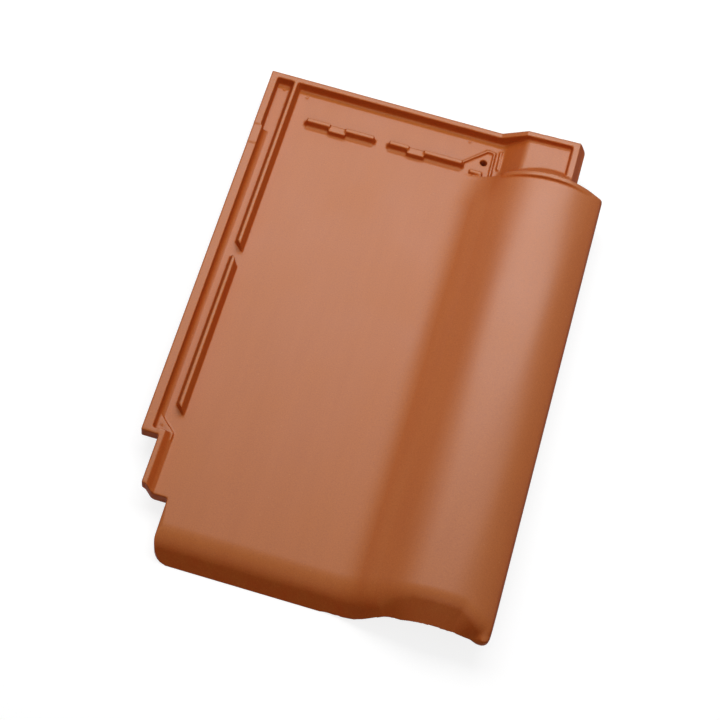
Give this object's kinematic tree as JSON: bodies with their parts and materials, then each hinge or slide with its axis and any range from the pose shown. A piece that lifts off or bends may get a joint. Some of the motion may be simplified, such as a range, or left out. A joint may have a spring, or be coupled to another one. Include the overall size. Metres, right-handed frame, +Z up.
{
  "type": "clay roof tile",
  "caption": "Fired clay interlocking pantile with a flat pan, an S-curved roll, a rounded nose, a ribbed side lock and head, and a nail hole.",
  "frame": {"origin": "middle of the tile's footprint on the floor it lies on", "axes": "+X across the tile from the side lock to the roll, +Y from the foot to the head, +Z up, pan upward"},
  "size_m": [0.26, 0.388, 0.0482],
  "materials": {
    "clay": "matte unglazed"
  },
  "bodies": {
    "root": {"roof_tile": "clay"}
  },
  "joints": []
}
